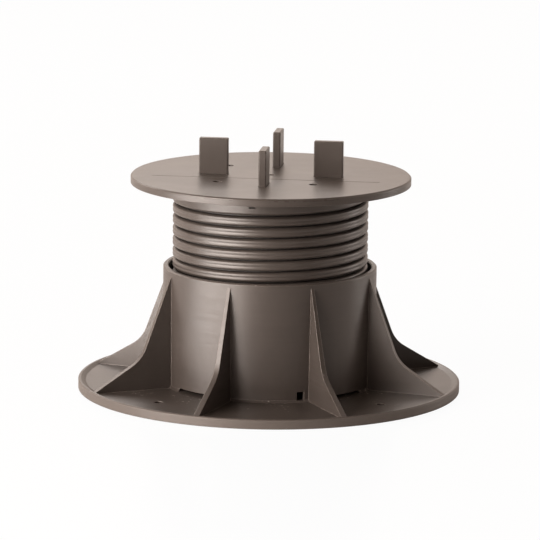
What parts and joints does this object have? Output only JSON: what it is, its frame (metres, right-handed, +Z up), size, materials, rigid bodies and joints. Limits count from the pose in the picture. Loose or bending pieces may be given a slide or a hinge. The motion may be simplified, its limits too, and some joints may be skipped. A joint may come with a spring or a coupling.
{
  "type": "decking pedestal",
  "caption": "Screw-adjustable plastic deck pedestal: flanged base with gussets, threaded riser and a round head plate with slab spacer tabs.",
  "frame": {"origin": "centre of the base's underside", "axes": "+Z up along the screw's axis; -Y towards the viewer of the picture; +X to the viewer's right"},
  "size_m": [0.2, 0.2, 0.1317],
  "materials": {
    "base_plastic": "moulded polypropylene, dark warm grey, fine satin grain",
    "riser_plastic": "moulded polypropylene, dark warm grey, satin",
    "head_plastic": "moulded polypropylene, dark warm grey, fine satin grain",
    "tab_plastic": "moulded polypropylene, dark warm grey, satin"
  },
  "bodies": {
    "base": {"base": "base_plastic"},
    "head": {"head_plate": "head_plastic", "spacer_tab_front": "tab_plastic", "spacer_tab_right": "tab_plastic", "spacer_tab_back": "tab_plastic", "spacer_tab_left": "tab_plastic"},
    "riser": {"threaded_riser": "riser_plastic"}
  },
  "joints": [
    {"name": "head_height", "type": "slide", "parent": "base", "child": "head", "axis": [0, 0, 1], "range_m": [-0.0426, 0.007]},
    {"name": "riser_turn", "type": "hinge", "parent": "head", "child": "riser", "pos_m": [0, 0, 0.109], "axis": [0, 0, 1], "range_deg": [-2644.1, 434.4]}
  ],
  "couplings": [
    {"joint": "head_height", "follows": "riser_turn", "m_per_rad": 0.0009231}
  ]
}
